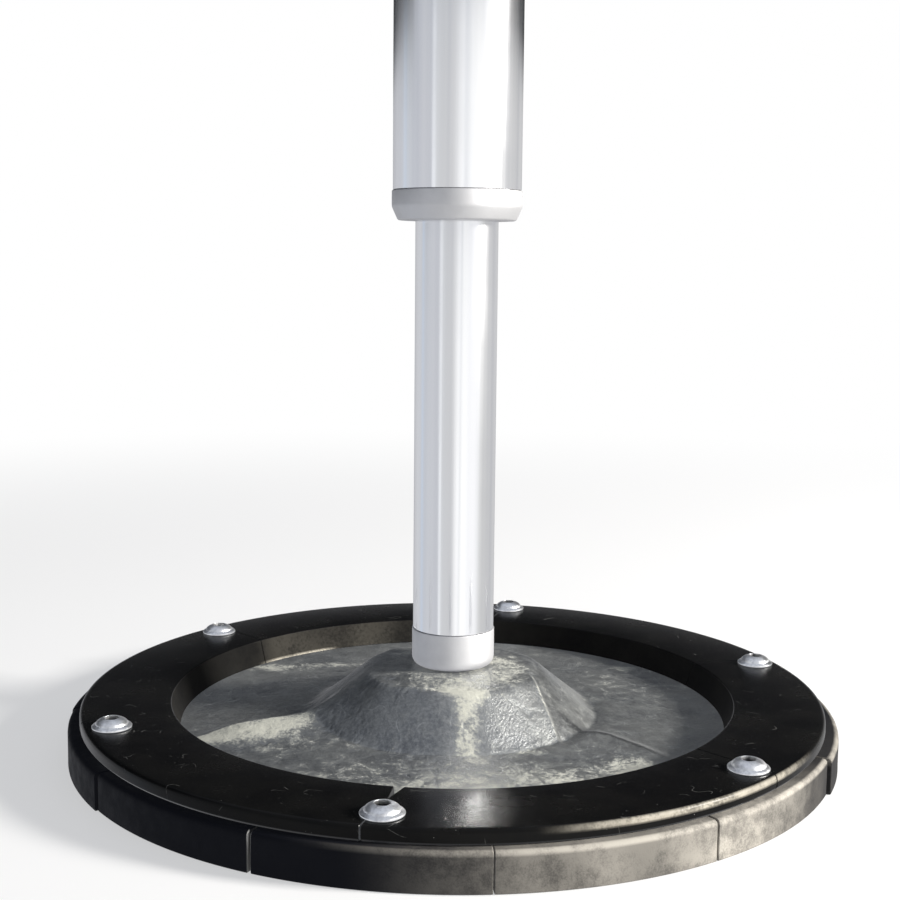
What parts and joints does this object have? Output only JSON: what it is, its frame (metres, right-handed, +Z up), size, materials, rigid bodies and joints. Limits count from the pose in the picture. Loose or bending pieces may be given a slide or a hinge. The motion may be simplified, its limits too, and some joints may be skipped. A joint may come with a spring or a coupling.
{
  "type": "parasol base",
  "caption": "Round parasol base: cast iron plate with a raised hub in a segmented rubber and plastic rim, with a telescopic mast on its hub.",
  "frame": {"origin": "on the ground, on the mast's axis: the centre of the base's footprint", "axes": "+Z up along the mast; +X to the right as seen from the front, which is the side towards -Y"},
  "size_m": [0.451, 0.4468, 0.7083],
  "materials": {
    "cast_iron": "galvanised and worn, semi-matt",
    "rubber": "moulded, matt, dusty",
    "ring_plastic": "turned, satin",
    "zinc": "bright zinc plate",
    "aluminium": "polished tube",
    "pale_plastic": "moulded, semi-gloss",
    "nylon": "turned, satin"
  },
  "bodies": {
    "base": {"base_plate": "cast_iron", "edge_block_01": "rubber", "edge_block_02": "rubber", "edge_block_03": "rubber", "edge_block_04": "rubber", "edge_block_05": "rubber", "edge_block_06": "rubber", "edge_block_07": "rubber", "edge_block_08": "rubber", "edge_block_09": "rubber", "edge_block_10": "rubber", "edge_block_11": "rubber", "edge_block_12": "rubber", "clamp_ring_1": "ring_plastic", "clamp_ring_2": "ring_plastic", "clamp_ring_3": "ring_plastic", "clamp_ring_4": "ring_plastic", "clamp_ring_5": "ring_plastic", "clamp_ring_6": "ring_plastic", "ring_screw_1": "zinc", "ring_screw_2": "zinc", "ring_screw_3": "zinc", "ring_screw_4": "zinc", "ring_screw_5": "zinc", "ring_screw_6": "zinc", "ring_washer_1": "zinc", "ring_washer_2": "zinc", "ring_washer_3": "zinc", "ring_washer_4": "zinc", "ring_washer_5": "zinc", "ring_washer_6": "zinc", "ring_nut_1": "zinc", "ring_nut_2": "zinc", "ring_nut_3": "zinc", "ring_nut_4": "zinc", "ring_nut_5": "zinc", "ring_nut_6": "zinc", "mast_foot": "pale_plastic", "centre_bolt": "zinc", "centre_washer": "zinc", "centre_nut": "zinc", "inner_tube": "aluminium", "top_guide": "nylon"},
    "collar": {"mast_collar": "pale_plastic", "collar_liner": "nylon"},
    "mast": {"outer_tube": "aluminium", "mast_head": "pale_plastic"}
  },
  "joints": [
    {"name": "mast_height", "type": "slide", "parent": "base", "child": "collar", "axis": [0, 0, 1], "range_m": [-0.236, 0.065]},
    {"name": "mast_turn", "type": "hinge", "parent": "collar", "child": "mast", "pos_m": [0, 0, 0.324], "axis": [0, 0, 1], "continuous": true}
  ]
}
